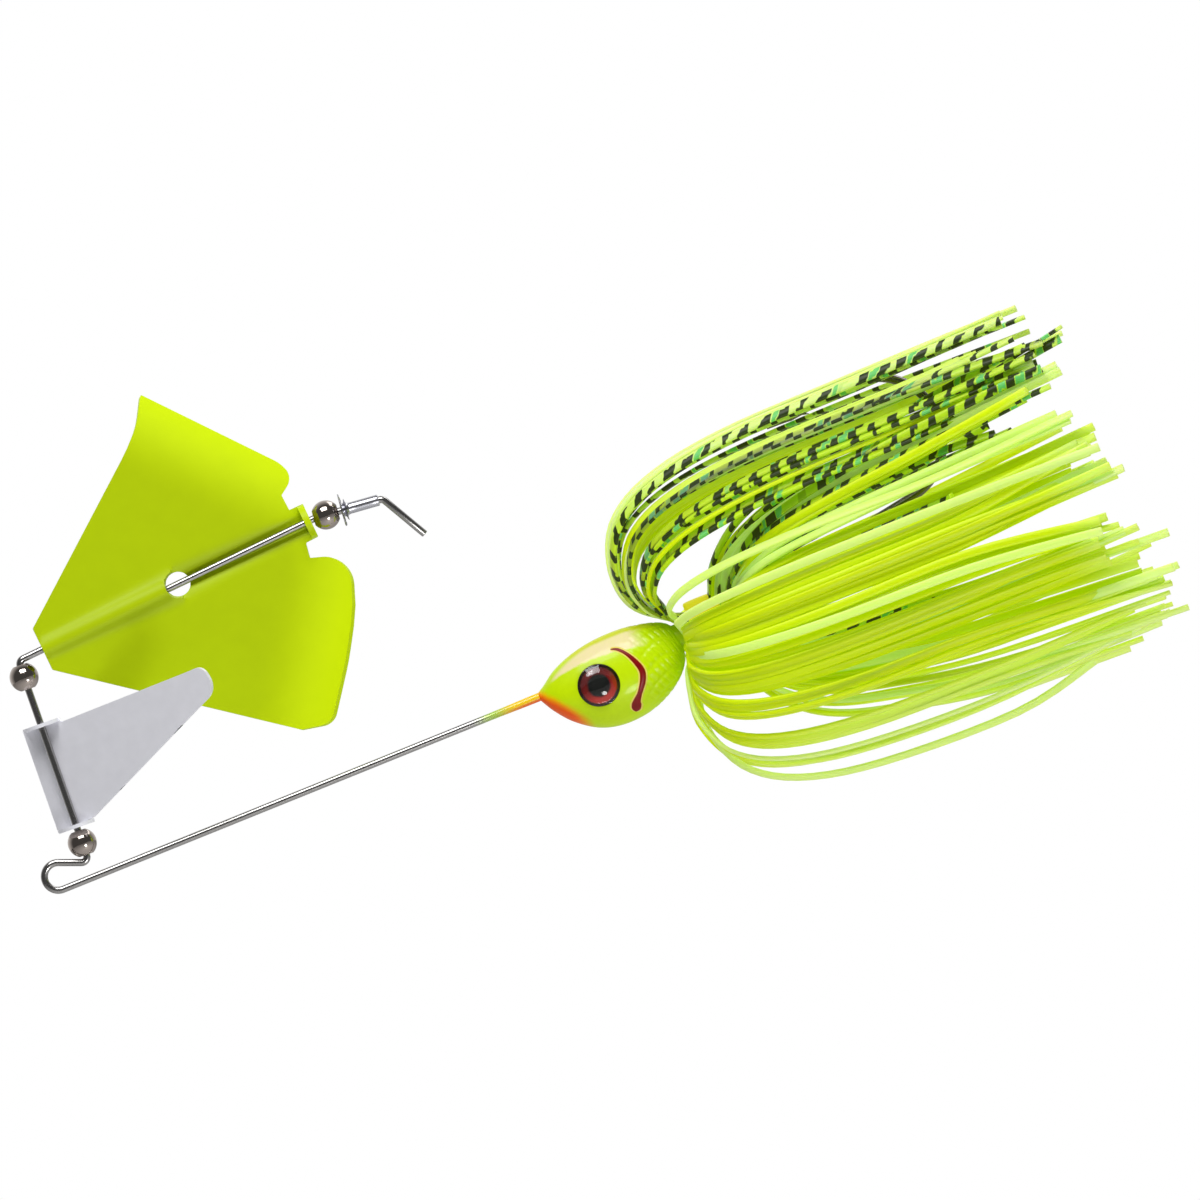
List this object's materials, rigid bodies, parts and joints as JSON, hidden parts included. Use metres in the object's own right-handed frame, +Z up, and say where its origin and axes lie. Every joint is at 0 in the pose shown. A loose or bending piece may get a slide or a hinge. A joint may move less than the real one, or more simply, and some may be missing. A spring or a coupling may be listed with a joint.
{
  "type": "buzzbait",
  "caption": "Topwater fishing lure: bent wire arm with a spinning painted delta blade, clacker plate, beads and rivet, fish-shaped lead head, hook and silicone skirt.",
  "frame": {"origin": "centre of the line-tie bend of the wire form", "axes": "+X along the main arm from the line tie to the hook, +Z up towards the blade shaft and the hook point, +Y to the lure's right side"},
  "size_m": [0.159, 0.0516, 0.0838],
  "materials": {
    "wire": "bright drawn stainless wire",
    "bead": "polished nickel plate",
    "clacker": "satin polished sheet",
    "rivet": "bright, thin torn flange",
    "blade_paint": "semi-gloss fluorescent chartreuse powder coat",
    "head_paint": "gloss clear coat over chartreuse with a pearl flank and an orange-red chin",
    "hook": "black nickel plate",
    "eye_foil": "red foil iris with a black pupil and rim",
    "eye_dome": "clear resin dome",
    "band": "satin yellow rubber",
    "skirt_plain": "translucent fluorescent chartreuse silicone",
    "skirt_barred": "chartreuse silicone with printed black bars and mint flecks",
    "skirt_pearl": "pale pearl lime silicone"
  },
  "bodies": {
    "lure": {"wire_form": "wire", "head": "head_paint", "hook": "hook", "eye_foil_left": "eye_foil", "eye_foil_right": "eye_foil", "eye_dome_left": "eye_dome", "eye_dome_right": "eye_dome", "skirt_band": "band", "skirt_top_left": "skirt_barred", "skirt_top_right": "skirt_barred", "skirt_upper_left": "skirt_plain", "skirt_upper_right": "skirt_plain", "skirt_lower_left": "skirt_plain", "skirt_lower_right": "skirt_plain", "skirt_bottom_left": "skirt_plain", "skirt_bottom_right": "skirt_plain"},
    "lower_bead": {"bead_lower": "bead"},
    "clacker": {"clacker_blade": "clacker"},
    "corner_bead": {"bead_corner": "bead"},
    "blade": {"main_blade": "blade_paint"},
    "rear_bead": {"bead_rear": "bead"},
    "rear_rivet": {"rivet": "rivet"}
  },
  "joints": [
    {"name": "main_blade_spin", "type": "hinge", "parent": "lure", "child": "blade", "pos_m": [0.02592, 0, 0.03049], "axis": [0.9979, 0, 0.0649], "continuous": true},
    {"name": "clacker_swing", "type": "hinge", "parent": "lure", "child": "clacker", "pos_m": [0.00517, 0, 0.01215], "axis": [0.0462, 0, 0.9989], "range_deg": [-300, 0]},
    {"name": "corner_bead_slide", "type": "slide", "parent": "lure", "child": "corner_bead", "axis": [0.0462, 0, 0.9989], "range_m": [-0.0045, 0]},
    {"name": "lower_bead_spin", "type": "hinge", "parent": "lure", "child": "lower_bead", "pos_m": [0.00475, 0, 0.00301], "axis": [0.0462, 0, 0.9989], "continuous": true},
    {"name": "rear_bead_spin", "type": "hinge", "parent": "lure", "child": "rear_bead", "pos_m": [0.05216, 0, 0.03194], "axis": [0.9942, 0, -0.108], "continuous": true},
    {"name": "rivet_spin", "type": "hinge", "parent": "lure", "child": "rear_rivet", "pos_m": [0.05667, 0, 0.03145], "axis": [0.9942, 0, -0.108], "continuous": true}
  ]
}
